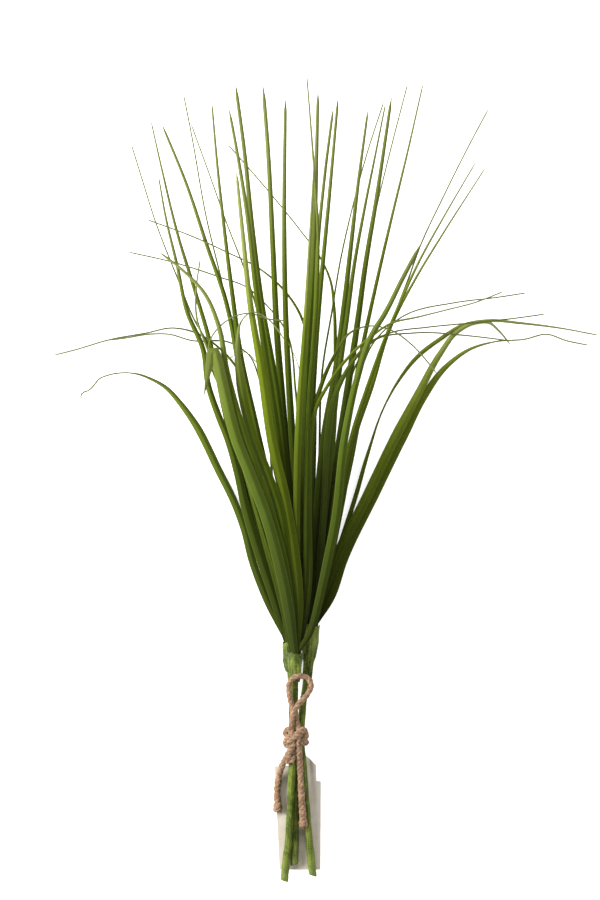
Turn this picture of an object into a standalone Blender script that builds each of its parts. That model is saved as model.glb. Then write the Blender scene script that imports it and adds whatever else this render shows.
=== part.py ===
"""Bunch of reeds: three picks of long artificial reed leaves, tied with jute twine, lying on a table.

A pick is a wire stem wound with green tape. Its leaves are pushed into a flared collar of the same
tape. Two picks lie side by side on the table and the third lies on top of them. The twine goes twice
round the three stems and ends in a knot, a loop and two tails. A blank folded tag lies under the stems.

Everything is laid out in millimetres from the tie: u to the right, v towards the leaf tips, z up from
the table. The model's own origin is on the table, below the middle of the whole bunch.
"""
import math

import bpy
import numpy as np

MM = 0.001
MIDDLE_OF_BUNCH = (22.5, 207.8)     # u and v of the point that becomes the origin

# Stems and collars
STEM_RADIUS = 3.0
STEM_SIDES = 10
COLLAR_RADIUS = 6.2
COLLAR_BORE = 5.7
COLLAR_SIDES = 18
STEM_CLEARANCE = 0.3

# Leaves
LEAF_THICKNESS = 0.26
ROOT_WIDTH = 5.4
ROOT_DEPTH = 5.0                    # how far a leaf is pushed into its collar
ROOT_STACK = 7.0                    # height of the stack of leaves inside a collar
ROOT_SPREAD = 10.0                  # a leaf that leans this far to a side leaves the collar at its wall
ROOT_CLEARANCE = 0.9
WIDENING = 45.0                     # distance over which a leaf reaches its full width
THREAD_WIDTH = 1.0                  # width of the drawn-out tip
LAYER_GAP = 0.5                     # least height between one leaf and the next above it
FAN_START = 95.0                    # v where the leaves start to part
FAN_OPEN = 150.0                    # distance over which they part
FAN_TOP = (24.0, 0.38, -0.00018)    # height of the top leaf: at the start, per mm, per mm squared
FAN_ORDER = 1.5                     # above 1, the lower leaves lie closer together
DOME_WIDTH = 250.0                  # distance to the side at which the fan is half as high

# Twine
TWINE_DIAMETER = 4.5
TWINE_TURN = 4.9                    # distance between the two turns round the stems
TIE_V = 1.5
WRAP_STATIONS = 40

# Tag
TAG_THICKNESS = 0.35
TAG_GAP = 0.3

GREEN = (0.09, 0.16, 0.02, 1.0)
DARK_GREEN = (0.04, 0.08, 0.01, 1.0)
TAPE_GREEN = (0.17, 0.27, 0.05, 1.0)
JUTE = (0.45, 0.27, 0.15, 1.0)
PAPER = (0.62, 0.57, 0.46, 1.0)


# ---- Shapes -------------------------------------------------------------------------------------

def smooth_curve(points, per_span):
    """Cubic curve through the points; each point's slope is the distance-weighted mean of its spans'."""
    points = np.array(points, dtype=float)
    chord = np.diff(points, axis=0)
    reach = np.linalg.norm(chord, axis=1)[:, None]
    slope = chord / reach
    inner = (slope[1:] * reach[:-1] + slope[:-1] * reach[1:]) / (reach[1:] + reach[:-1])
    slopes = np.vstack([slope[:1], inner, slope[-1:]])
    t = np.linspace(0.0, 1.0, per_span, endpoint=False)[:, None]
    spans = []
    for start, end, out, into, length in zip(points, points[1:], slopes, slopes[1:], reach):
        spans.append(start * (1 + 2 * t) * (1 - t) ** 2 + end * t ** 2 * (3 - 2 * t)
                     + length * (out * t * (1 - t) ** 2 - into * t ** 2 * (1 - t)))
    return np.vstack(spans + [points[-1:]])


def smoothstep(value):
    """0 below 0, 1 above 1, and an even S between."""
    value = np.clip(value, 0.0, 1.0)
    return value * value * (3.0 - 2.0 * value)


def material(name, colour, roughness):
    made = bpy.data.materials.new(name)
    made.use_nodes = True
    shader = made.node_tree.nodes["Principled BSDF"]
    shader.inputs["Base Color"].default_value = colour
    shader.inputs["Roughness"].default_value = roughness
    made.diffuse_color = colour
    return made


def place(name, data, finish):
    """Puts a mesh or curve in the scene as one named object."""
    piece = bpy.data.objects.new(name, data)
    bpy.context.collection.objects.link(piece)
    data.materials.append(finish)
    return piece


def from_tie(points):
    """Millimetres from the tie, turned into metres from the model's origin."""
    shift = np.array([MIDDLE_OF_BUNCH[0], MIDDLE_OF_BUNCH[1], 0.0])
    return (np.asarray(points, dtype=float) - shift) * MM


def skin(name, rings, finish, closed=False):
    """Joins rings of points with triangles; the two ends get caps unless closed.

    All rings have one size, and run counter-clockwise as seen by someone they travel towards. Every
    other side is split along its other diagonal, so that the two faces of a thin blade bend alike.
    """
    count, sides = rings.shape[:2]
    faces = []
    for ring in range(count if closed else count - 1):
        here, ahead = ring * sides, (ring + 1) % count * sides
        for side in range(sides):
            beside = (side + 1) % sides
            near, far = (here + side, here + beside), (ahead + side, ahead + beside)
            if side % 2:
                faces += [(*near, far[1]), (near[0], far[1], far[0])]
            else:
                faces += [(*near, far[0]), (near[1], far[1], far[0])]
    if not closed:
        faces.append(tuple(reversed(range(sides))))
        faces.append(tuple(range((count - 1) * sides, count * sides)))
    mesh = bpy.data.meshes.new(name)
    mesh.from_pydata(from_tie(rings.reshape(-1, 3)).tolist(), [], faces)
    return place(name, mesh, finish)


def rings_round(centres, radii, sides):
    """Circles of the given radii across a path. They are kept level: one axis always lies flat."""
    ahead = np.gradient(centres, axis=0)
    ahead /= np.linalg.norm(ahead, axis=1)[:, None]
    level = np.cross(ahead, (0.0, 0.0, 1.0))
    level /= np.linalg.norm(level, axis=1)[:, None]
    upright = np.cross(level, ahead)
    turn = -np.linspace(0.0, 2 * math.pi, sides, endpoint=False)
    across = np.cos(turn)[None, :, None] * level[:, None, :]
    up = np.sin(turn)[None, :, None] * upright[:, None, :]
    return centres[:, None, :] + np.asarray(radii)[:, None, None] * (up + across)


# ---- Picks: the stem and the collar -------------------------------------------------------------

# Each pick: the stem from the collar down to its cut end, and the collar's axis from its foot to
# its mouth. The collar's outline is (share of the axis, share of the way from stem to full radius).
PICKS = {
    "back": {
        "stem": [(-6.2, 64, 6.6), (-5.6, 48, 6.9), (-4.6, 25, 7.6), (-3.8, 2, 8.0), (-2.4, -24, 7.2),
                 (-2.2, -72, 5.4), (-3, -101, 4.6)],
        "collar": [(-5.9, 54, 6.7), (-6.6, 78, 6.6)],
        "outline": [(0.0, 0.1), (0.12, 0.45), (0.36, 0.95), (0.6, 1.0), (1.0, 1.0)],
    },
    "right": {
        "stem": [(8.6, 66, 6.5), (7, 48, 6.8), (4.6, 32, 7.4), (3, 16, 7.9), (2.3, 0, 8.0), (3.6, -16, 7.4),
                 (8.8, -80, 5.2), (12, -110, 4.6)],
        "collar": [(7.0, 48, 6.8), (11.8, 92, 6.6)],
        "outline": [(0.0, 0.1), (0.3, 0.25), (0.42, 0.85), (0.7, 1.0), (1.0, 1.0)],
    },
    "front": {
        "stem": [(-2.2, 58, 17.5), (-2.6, 46, 16.5), (-2.6, 25, 15.2), (-3, 5, 14.5), (-4.8, -24, 13.3),
                 (-6, -50, 11.6), (-7.6, -80, 9.3), (-9.8, -101, 7.2), (-11, -114, 5.9)],
        "collar": [(-2.6, 46, 16.4), (-2.0, 70, 18.8)],
        "outline": [(0.0, 0.1), (0.2, 0.55), (0.62, 0.9), (0.8, 1.0), (1.0, 1.0)],
    },
}


def make_stem(name, route, finish):
    centres = smooth_curve(route, 2)
    skin(name, rings_round(centres, np.full(len(centres), STEM_RADIUS), STEM_SIDES), finish)


def make_collar(name, axis, outline, finish):
    """A sleeve of tape: it grips the stem at its foot, swells, and is open at its mouth."""
    foot, mouth = np.array(axis, dtype=float)
    share = np.array([point[0] for point in outline])
    swell = np.array([point[1] for point in outline])
    grip = STEM_RADIUS + STEM_CLEARANCE
    bore = grip + (COLLAR_BORE - grip) * swell
    bore[0] = grip
    wall = COLLAR_RADIUS - COLLAR_BORE
    centres = foot + share[:, None] * (mouth - foot)
    outside = rings_round(centres, bore + wall, COLLAR_SIDES)
    inside = rings_round(centres, bore, COLLAR_SIDES)
    skin(name, np.concatenate([outside, inside[::-1]]), finish, closed=True)


# ---- Leaves -------------------------------------------------------------------------------------

# From the lowest leaf, which lies on the table, to the top one. Each leaf: its pick, its width, the
# shares of its length where it starts to narrow and where it is drawn out to a thread, and its route.
LEAVES = (
    ("back", 6.2, 0.60, 0.84, [(-25, 112), (-37, 144), (-43, 168), (-52, 192), (-63, 214), (-84, 255),
                               (-95, 270), (-106, 282), (-118, 289), (-129, 293), (-141, 294), (-153, 292),
                               (-160, 289), (-164, 284), (-168, 280), (-173, 278), (-175, 275),
                               (-172, 273)]),
    ("right", 8.2, 0.50, 0.78, [(25, 112), (36, 144), (62, 198), (82, 239), (101, 275), (119, 299),
                                (138, 313), (158, 319), (182, 321), (200, 325), (215, 320), (234, 316)]),
    ("back", 3.2, 0.30, 0.75, [(-17, 112), (-28, 190), (-38, 264), (-50, 299), (-67, 317), (-82, 326),
                               (-101, 330), (-122, 326), (-150, 321), (-181, 312), (-197, 308)]),
    ("right", 3.8, 0.62, 0.94, [(19, 112), (31, 148), (46, 194), (57, 232), (68, 264), (81, 288),
                                (96, 307), (114, 321), (132, 332), (154, 336), (178, 334), (210, 330),
                                (242, 324)]),
    ("back", 2.4, 0.20, 0.70, [(-12, 112), (-20, 200), (-30, 285), (-40, 309), (-54, 318), (-86, 320),
                               (-104, 325), (-119, 325), (-138, 322), (-155, 320)]),
    ("right", 8.0, 0.55, 1.00, [(18, 112), (30, 144), (54, 192), (77, 240), (96, 276), (114, 309),
                                (128, 327), (142, 334), (154, 334), (161, 328), (171, 316)]),
    ("back", 2.4, 0.20, 0.80, [(-15, 112), (-40, 200), (-60, 270), (-74, 320), (-83, 336), (-96, 368),
                               (-114, 414), (-126, 452), (-134, 478)]),
    ("right", 2.2, 0.20, 0.80, [(18, 118), (28, 200), (38, 270), (48, 303), (60, 319), (94, 326),
                                (134, 324), (168, 320)]),
    ("back", 5.8, 0.25, 1.00, [(-17, 116), (-42, 200), (-58, 260), (-70, 316), (-84, 364), (-96, 403),
                               (-109, 456), (-118, 496)]),
    ("right", 3.6, 0.50, 0.76, [(16, 116), (25, 200), (30, 270), (30, 316), (29, 346), (26, 368), (18, 386),
                                (2, 408), (-24, 440), (-57, 478)]),
    ("back", 7.6, 0.25, 1.00, [(-19, 112), (-31, 148), (-43, 189), (-48, 212), (-56, 240), (-64, 260),
                               (-72, 284), (-76, 312), (-89, 343), (-97, 380), (-106, 418), (-112, 452)]),
    ("right", 2.2, 0.20, 0.80, [(15, 116), (17, 220), (20, 300), (27, 342), (34, 384), (43, 424), (56, 472),
                                (69, 512)]),
    ("back", 2.2, 0.20, 0.80, [(-11, 112), (-30, 208), (-47, 290), (-61, 366), (-73, 416), (-86, 488),
                               (-92, 518)]),
    ("right", 2.6, 0.20, 0.80, [(18, 120), (30, 220), (46, 330), (62, 422), (74, 472), (88, 526)]),
    ("back", 2.6, 0.20, 0.70, [(-4, 112), (0, 200), (-2, 280), (-10, 328), (-28, 351), (-42, 363), (-61, 370),
                               (-98, 382), (-137, 391)]),
    ("right", 2.2, 0.20, 0.80, [(20, 120), (42, 216), (58, 290), (74, 332), (88, 368), (99, 398), (115, 432),
                                (138, 478), (153, 506)]),
    ("back", 2.2, 0.20, 0.80, [(-6, 112), (-15, 200), (-24, 290), (-34, 348), (-42, 374), (-58, 416),
                               (-70, 450), (-86, 494)]),
    ("right", 6.6, 0.30, 1.00, [(17, 130), (30, 216), (39, 276), (48, 336), (54, 380), (62, 428), (75, 515)]),
    ("back", 5.9, 0.25, 1.00, [(-12, 112), (-26, 192), (-41, 264), (-50, 316), (-58, 352), (-73, 396),
                               (-89, 444), (-109, 493)]),
    ("right", 4.2, 0.30, 0.80, [(12, 116), (12, 200), (13, 270), (9, 318), (0, 344), (-13, 362), (-32, 378),
                                (-56, 390), (-82, 402), (-122, 417)]),
    ("back", 6.4, 0.25, 1.00, [(-9, 112), (-21, 192), (-34, 252), (-46, 308), (-52, 352), (-58, 400),
                               (-65, 464), (-69, 510)]),
    ("right", 6.8, 0.30, 1.00, [(13, 120), (22, 248), (31, 300), (37, 348), (42, 392), (48, 444), (56, 504)]),
    ("back", 6.8, 0.25, 1.00, [(-6, 112), (-7, 192), (-12, 264), (-17, 328), (-20, 392), (-24, 472),
                               (-28, 524)]),
    ("right", 6.4, 0.25, 1.00, [(4, 112), (-1, 192), (-6, 264), (-10, 344), (-11, 416), (-10, 513)]),
    ("back", 7.0, 0.25, 1.00, [(-5, 112), (-8, 192), (-18, 284), (-29, 348), (-36, 404), (-43, 472),
                               (-50, 525)]),
    ("right", 5.0, 0.25, 1.00, [(19, 122), (31, 200), (42, 264), (52, 316), (62, 362), (74, 414), (88, 472),
                                (100, 525)]),
    ("right", 4.2, 0.25, 0.95, [(21, 120), (36, 192), (46, 244), (59, 282), (74, 330), (94, 369), (114, 402),
                                (150, 458)]),
    ("right", 2.2, 0.20, 0.70, [(17, 118), (30, 200), (46, 280), (62, 320), (84, 339), (126, 350), (158, 354),
                                (184, 358)]),
    ("right", 4.6, 0.25, 0.95, [(20, 120), (32, 184), (43, 242), (57, 286), (70, 322), (80, 346), (97, 383),
                                (118, 421), (142, 462)]),
    ("right", 5.6, 0.30, 1.00, [(15, 120), (23, 200), (31, 280), (39, 336), (45, 380), (53, 424), (61, 464),
                                (70, 509)]),
    ("right", 5.6, 0.30, 1.00, [(11, 118), (10, 232), (14, 312), (19, 372), (24, 424), (32, 513)]),
    ("right", 6.0, 0.42, 0.66, [(16, 112), (18, 144), (21, 192), (24, 244), (28, 270), (35, 288), (44, 303),
                                (59, 319), (75, 326), (102, 330), (142, 334), (178, 338), (199, 341)]),
    ("front", 6.0, 0.45, 0.80, [(4, 112), (7, 190), (10, 240), (18, 282), (30, 309), (42, 326), (56, 331),
                                (74, 328), (90, 317), (104, 302), (111, 293)]),
    ("front", 4.6, 0.30, 0.95, [(-14, 112), (-38, 200), (-60, 272), (-72, 312), (-81, 338), (-81, 364),
                                (-78, 385)]),
    ("front", 7.6, 0.35, 1.00, [(3, 112), (5, 232), (8, 312), (12, 376), (14, 436), (16, 518)]),
    ("front", 7.2, 0.25, 1.00, [(-3, 112), (-12, 208), (-17, 248), (-26, 308), (-34, 364), (-40, 416),
                                (-49, 472), (-55, 504)]),
    ("front", 4.6, 0.30, 1.00, [(6, 112), (9, 200), (10, 272), (14, 344), (16, 396), (21, 448), (28, 504)]),
    ("front", 4.4, 0.30, 0.85, [(8, 112), (9, 190), (10, 240), (14, 264), (26, 287), (43, 309), (59, 323),
                                (74, 333), (95, 338), (119, 344), (142, 350), (165, 359)]),
    ("front", 4.4, 0.30, 1.00, [(5, 112), (7, 200), (9, 272), (15, 352), (16, 404), (13, 452), (7, 530)]),
    ("front", 2.6, 0.20, 0.80, [(-13, 112), (-38, 200), (-62, 280), (-71, 305), (-70, 320), (-62, 331),
                                (-52, 338), (-38, 341), (-26, 337), (-10, 335)]),
    ("front", 5.6, 0.45, 1.00, [(-1, 112), (-1, 192), (1, 264), (6, 336), (10, 408), (13, 464)]),
    ("front", 8.8, 0.35, 1.00, [(0, 112), (-10, 190), (-21, 240), (-30, 300), (-38, 348), (-44, 404),
                                (-49, 454)]),
    ("front", 7.6, 0.70, 0.86, [(-4, 112), (-9, 144), (-14, 180), (-24, 212), (-35, 240), (-46, 288),
                                (-48, 320), (-45, 335), (-37, 342), (-26, 338), (-17, 329), (-11, 320)]),
    ("front", 7.2, 0.35, 1.00, [(9, 84), (13, 96), (16, 108), (23, 140), (30, 176), (37, 240), (48, 292),
                                (58, 322), (70, 342), (83, 368), (99, 398)]),
    ("front", 7.4, 0.40, 1.05, [(-7, 112), (-12, 144), (-24, 188), (-43, 244), (-57, 296), (-63, 330),
                                (-74, 356), (-94, 377), (-111, 390)]),
    ("front", 9.2, 0.84, 1.03, [(-9, 112), (-16, 144), (-26, 180), (-38, 212), (-49, 240), (-61, 288),
                                (-65, 305), (-67, 311), (-69, 310), (-70, 304), (-75, 275)]),
)

# Every leaf has a cross-section on these lines across the bunch, so that leaves nest as they cross.
CROSS_LINES = (95, 106, 120, 140, 164, 192, 224, 260, 300, 342, 386, 430, 476)
FARTHEST_STATION = 45.0
SHARPEST_BEND = math.radians(20)


def fan_height(layer, u, v):
    """Height of a layer above the table, where the leaves have parted: a dome for each layer."""
    reach = np.maximum(v - FAN_START, 0.0)
    start, rise, fall = FAN_TOP
    top = start + rise * reach + fall * reach ** 2
    share = (layer / (len(LEAVES) - 1)) ** FAN_ORDER
    free = top - LAYER_GAP * len(LEAVES)
    return LEAF_THICKNESS / 2 + LAYER_GAP * layer + free * share / (1 + (u / DOME_WIDTH) ** 2)


def leaf_height(layer, root, u, v):
    """Root height in the collar, blending into the fan as the leaf leaves it."""
    parted = smoothstep((v - FAN_START) / FAN_OPEN)
    return root + (fan_height(layer, u, v) - root) * parted


def stations_along(route):
    """Picks the curve's points on the cross lines, and more where it bends or runs across."""
    step = np.diff(route, axis=0)
    length = np.linalg.norm(step, axis=1)
    heading = np.unwrap(np.arctan2(step[:, 1], step[:, 0]))
    line = np.searchsorted(CROSS_LINES, route[:, 1])
    chosen = [0]
    for here in range(1, len(route) - 1):
        last = chosen[-1]
        far = length[last:here].sum() > FARTHEST_STATION
        bent = abs(heading[here] - heading[last]) > SHARPEST_BEND
        if far or bent or line[here] != line[here - 1]:
            chosen.append(here)
    chosen.append(len(route) - 1)
    return chosen


def leaf_width(along, share, width, narrows, thread):
    """From the root's width to the full width, then tapering to a thread."""
    root = min(ROOT_WIDTH, width)
    full = root + (width - root) * smoothstep(along / WIDENING)
    left = 1.0 - np.clip((share - narrows) / (thread - narrows), 0.0, 1.0)
    return THREAD_WIDTH + (full - THREAD_WIDTH) * left


def leaf_root(pick, root_height, width, first):
    """Two plan points in line with the leaf's first point: deep in the collar, and at its mouth."""
    mouth = np.array(PICKS[pick]["collar"][1], dtype=float)
    half_chord = math.sqrt(COLLAR_BORE ** 2 - (root_height - mouth[2]) ** 2)
    lean = np.clip((first[0] - mouth[0]) / ROOT_SPREAD, -1.0, 1.0)
    middle = mouth[:2] + ((half_chord - width / 2 - ROOT_CLEARANCE) * lean, 0.0)
    ahead = (first - middle) / np.linalg.norm(first - middle)
    return [middle - ROOT_DEPTH * ahead, middle]


def make_leaf(name, layer, root_height, pick, width, narrows, thread, points, finish):
    """A thin blade with a folded midrib. Its cross-section is a flat chevron of four points."""
    points = [np.array(point, dtype=float) for point in points]
    root = leaf_root(pick, root_height, min(ROOT_WIDTH, width), points[0])
    route = smooth_curve(root + points, 24)
    length = np.concatenate([[0.0], np.cumsum(np.linalg.norm(np.diff(route, axis=0), axis=1))])
    ahead = np.gradient(route, axis=0)
    across = np.stack([ahead[:, 1], -ahead[:, 0]], axis=1) / np.linalg.norm(ahead, axis=1)[:, None]
    chosen = stations_along(route)
    middle, across, along = route[chosen], across[chosen], length[chosen]
    half = leaf_width(along, along / length[-1], width, narrows, thread)[:, None] / 2

    def on_layer(plan, lift):
        height = leaf_height(layer, root_height, plan[:, 0], plan[:, 1])
        return np.column_stack([plan, height + lift])

    above = leaf_height(layer + 1, root_height + LAYER_GAP, middle[:, 0], middle[:, 1])
    room = above - leaf_height(layer, root_height, middle[:, 0], middle[:, 1])
    fold = np.minimum(0.5 * room - LEAF_THICKNESS / 2, 0.24 * half[:, 0])
    sides = [on_layer(middle + across * half, fold), on_layer(middle, -LEAF_THICKNESS / 2),
             on_layer(middle - across * half, fold), on_layer(middle, LEAF_THICKNESS / 2)]
    skin(name, np.stack(sides, axis=1), finish)


def make_leaves(finishes):
    """Stacks each pick's leaves in its collar in the order in which they lie."""
    total = {pick: sum(leaf[0] == pick for leaf in LEAVES) for pick in PICKS}
    placed = dict.fromkeys(PICKS, 0)
    for layer, (pick, width, narrows, thread, points) in enumerate(LEAVES):
        mouth_height = PICKS[pick]["collar"][1][2]
        place_in_stack = placed[pick] / (total[pick] - 1) - 0.5
        placed[pick] += 1
        name = f"leaf_{pick}_{placed[pick]:02d}"
        make_leaf(name, layer, mouth_height + ROOT_STACK * place_in_stack, pick, width, narrows, thread,
                  points, finishes[layer % 2])


# ---- Twine --------------------------------------------------------------------------------------

TWINE_CORDS = {
    "twine_loop": [(-5.0, 9.4, 24.0), (-5.2, 15, 25.0), (-3.6, 21, 26.8), (-0.5, 27, 26.4), (5, 33, 25),
                   (9, 38.5, 24.2), (10.4, 44.5, 24), (8, 49, 24.2), (2.4, 50.8, 24.6), (-4, 49, 24.4),
                   (-7.2, 44, 23.6), (-7, 37, 22.8), (-5.8, 30, 22.2), (-4.2, 23, 21.6), (-1.4, 16, 21.8),
                   (0.2, 9.4, 23.2)],
    "twine_tail_right": [(0.6, -5.4, 24.4), (1, -9, 22.6), (1.2, -14, 18.8), (1.5, -20, 15), (1.8, -27, 12.6),
                         (2.4, -40, 11.5), (3.2, -52, 10.9), (4, -64, 10.2), (4.2, -70, 9.9)],
    "twine_tail_left": [(-4.4, -5.4, 24), (-6.6, -9, 22), (-9.4, -14, 18.2), (-12.6, -21, 11.4),
                        (-14.8, -28, 6.4), (-16.4, -36, 3.9), (-16.8, -44, 3.6), (-16.4, -52, 3.6),
                        (-16.6, -58, 3.6)],
}
CORD_STEP = 6.0
KNOT_MIDDLE = (-1.8, 2.0, 26.2)
KNOT_HALF_SIZE = (5.4, 6.6, 3.2)


def make_cord(name, route, finish):
    """A plain round tube along a smooth curve through the route."""
    fine = smooth_curve(route, 20)
    length = np.concatenate([[0.0], np.cumsum(np.linalg.norm(np.diff(fine, axis=0), axis=1))])
    count = round(length[-1] / CORD_STEP) + 1
    even = np.linspace(0.0, length[-1], count)
    points = np.column_stack([np.interp(even, length, fine[:, axis]) for axis in range(3)])
    curve = bpy.data.curves.new(name, "CURVE")
    curve.dimensions = "3D"
    curve.bevel_depth = TWINE_DIAMETER / 2 * MM
    curve.bevel_resolution = 2
    curve.use_fill_caps = True
    spline = curve.splines.new("POLY")
    spline.points.add(count - 1)
    for target, point in zip(spline.points, from_tie(points)):
        target.co = (*point, 1.0)
    place(name, curve, finish)


def make_wrap(name, finish):
    """Two turns round the three stems: a tube on the outline that a band pulled tight would take."""
    stems = []
    for pick in PICKS.values():
        route = smooth_curve(pick["stem"], 20)
        stems.append(route[np.argmin(abs(route[:, 1] - TIE_V))])
    turn = np.linspace(0.45 * math.pi, 4.55 * math.pi, WRAP_STATIONS)
    outward = np.column_stack([np.cos(turn), np.sin(turn)])
    reach = np.stack([outward @ stem[[0, 2]] for stem in stems])
    touched = np.array(stems)[np.argmax(reach, axis=0)][:, [0, 2]]
    centre = touched + outward * (STEM_RADIUS + STEM_CLEARANCE + TWINE_DIAMETER / 2)
    along = TIE_V + TWINE_TURN * (1.15 - turn / (2 * math.pi))
    path = np.column_stack([centre[:, 0], along, centre[:, 1]])
    ahead = np.gradient(path, axis=0)
    ahead /= np.linalg.norm(ahead, axis=1)[:, None]
    out = np.column_stack([outward[:, 0], np.zeros(len(turn)), outward[:, 1]])
    side = np.cross(ahead, out)
    side /= np.linalg.norm(side, axis=1)[:, None]
    out = np.cross(side, ahead)
    around = np.linspace(0.0, 2 * math.pi, 8, endpoint=False)
    rings = path[:, None, :] + TWINE_DIAMETER / 2 * (np.cos(around)[None, :, None] * out[:, None, :]
                                                     + np.sin(around)[None, :, None] * side[:, None, :])
    skin(name, rings, finish)


def make_knot(name, finish):
    """The pulled-tight knot on top of the turns: a flattened ball."""
    middle, half = np.array(KNOT_MIDDLE), np.array(KNOT_HALF_SIZE)
    down = np.linspace(0.0, math.pi, 9)[1:-1]
    around = np.linspace(0.0, 2 * math.pi, 12, endpoint=False)
    ball = np.stack([np.sin(down)[:, None] * np.cos(around), -np.cos(down)[:, None] * np.ones(12),
                     -np.sin(down)[:, None] * np.sin(around)], axis=2)
    skin(name, middle + half * ball, finish)


# ---- Tag ----------------------------------------------------------------------------------------

# Corners of the two leaves of the tag, as u and v. The upper leaf's right shoulder is rounded.
TAG_LOWER = [(-13, -32), (-15, -103), (18, -105), (18.5, -34)]
TAG_UPPER = [(-19, -22), (-15, -105), (16, -105), (16, -34), (14.5, -23), (11, -15), (6, -12), (-4, -17)]


def make_tag_leaf(name, corners, bottom, finish):
    levels = (bottom, bottom + TAG_THICKNESS)
    rings = np.array([[(u, v, level) for u, v in corners] for level in levels])
    skin(name, rings, finish)


# ---- The bunch ----------------------------------------------------------------------------------

def build():
    for old in list(bpy.data.objects):
        bpy.data.objects.remove(old, do_unlink=True)
    leaf_finishes = (material("leaf_green", GREEN, 0.45), material("leaf_dark_green", DARK_GREEN, 0.45))
    tape = material("floral_tape", TAPE_GREEN, 0.75)
    jute = material("jute", JUTE, 0.95)
    paper = material("tag_paper", PAPER, 0.6)
    for pick, parts in PICKS.items():
        make_stem(f"stem_{pick}", parts["stem"], tape)
        make_collar(f"collar_{pick}", parts["collar"], parts["outline"], tape)
    make_leaves(leaf_finishes)
    make_wrap("twine_wrap", jute)
    make_knot("twine_knot", jute)
    for name, route in TWINE_CORDS.items():
        make_cord(name, route, jute)
    make_tag_leaf("tag_lower_leaf", TAG_LOWER, 0.0, paper)
    make_tag_leaf("tag_upper_leaf", TAG_UPPER, TAG_THICKNESS + TAG_GAP, paper)


build()
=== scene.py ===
"""Looks of the bunch of reeds: three picks of long leaves, tied with jute twine, lying on a table."""
import math

import bpy
import numpy as np
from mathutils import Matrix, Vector


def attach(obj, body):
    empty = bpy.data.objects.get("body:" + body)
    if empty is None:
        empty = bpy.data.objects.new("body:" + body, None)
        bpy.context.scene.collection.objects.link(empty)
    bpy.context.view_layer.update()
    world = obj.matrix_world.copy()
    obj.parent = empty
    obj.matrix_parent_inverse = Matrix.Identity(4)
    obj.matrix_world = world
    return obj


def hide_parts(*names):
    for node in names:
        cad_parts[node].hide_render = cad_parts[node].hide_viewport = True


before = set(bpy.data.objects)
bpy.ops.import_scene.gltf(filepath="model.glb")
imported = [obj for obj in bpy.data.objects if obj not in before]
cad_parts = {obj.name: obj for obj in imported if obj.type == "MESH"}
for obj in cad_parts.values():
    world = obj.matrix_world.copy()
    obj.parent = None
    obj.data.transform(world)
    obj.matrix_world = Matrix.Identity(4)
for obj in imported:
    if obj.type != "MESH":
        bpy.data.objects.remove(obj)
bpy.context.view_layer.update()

# The bunch is laid out in millimetres from the tie: u to the right, v towards the leaf tips, z up from
# the table. Its record's origin is on the table, below the middle of the whole bunch.
MM = 0.001
MIDDLE_OF_BUNCH = (22.5, 207.8)


def from_tie(points):
    """Millimetres from the tie, turned into metres from the origin of the record."""
    return (np.asarray(points, dtype=float) - (*MIDDLE_OF_BUNCH, 0.0)) * MM


# ---- Camera -------------------------------------------------------------------------------------
# A long lens high above the table, so that tall and low leaves keep one scale. The frame is 720 mm
# high at the middle height of the leaves.

CAMERA_HEIGHT = 12.0
CAMERA_AIM = (1.6, 232.0)
SHARP_HEIGHT = 0.05
VIEW_HEIGHT = 0.72

camera_data = bpy.data.cameras.new("camera")
camera_data.lens = camera_data.sensor_width * (CAMERA_HEIGHT - SHARP_HEIGHT) / VIEW_HEIGHT
camera_data.clip_end = 40.0
camera = bpy.data.objects.new("camera", camera_data)
camera.location = (*from_tie([(*CAMERA_AIM, 0.0)])[0][:2], CAMERA_HEIGHT)
bpy.context.collection.objects.link(camera)
bpy.context.scene.camera = camera


# ---- Stems --------------------------------------------------------------------------------------
# Each stem is a steel wire wound with a spiral of green crepe tape, which overlaps itself by half.
# A second length of tape starts near the bottom, and the end is cut off at a slant with pliers.

STEM_RADIUS = 3.0
STEM_STEP = 0.45
STEM_SIDES = 48
TAPE_PITCH = 19.0
TAPE_STEP = 0.2
STEMS = {
    "back": [(-6.2, 64, 6.6), (-5.6, 48, 6.9), (-4.6, 25, 7.6), (-3.8, 2, 8.0), (-2.4, -24, 7.2),
             (-2.2, -72, 5.4), (-3, -101, 4.6)],
    "right": [(8.6, 66, 6.5), (7, 48, 6.8), (4.6, 32, 7.4), (3, 16, 7.9), (2.3, 0, 8.0), (3.6, -16, 7.4),
              (8.8, -80, 5.2), (12, -110, 4.6)],
    "front": [(-2.2, 58, 17.5), (-2.6, 46, 16.5), (-2.6, 25, 15.2), (-3, 5, 14.5), (-4.8, -24, 13.3),
              (-6, -50, 11.6), (-7.6, -80, 9.3), (-9.8, -101, 7.2), (-11, -114, 5.9)],
}
TAPE_JOINT = {"back": 27.0, "right": 25.0, "front": 24.0}
CUT_SLANT = {"back": 0.35, "right": -0.4, "front": -0.25}


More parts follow.
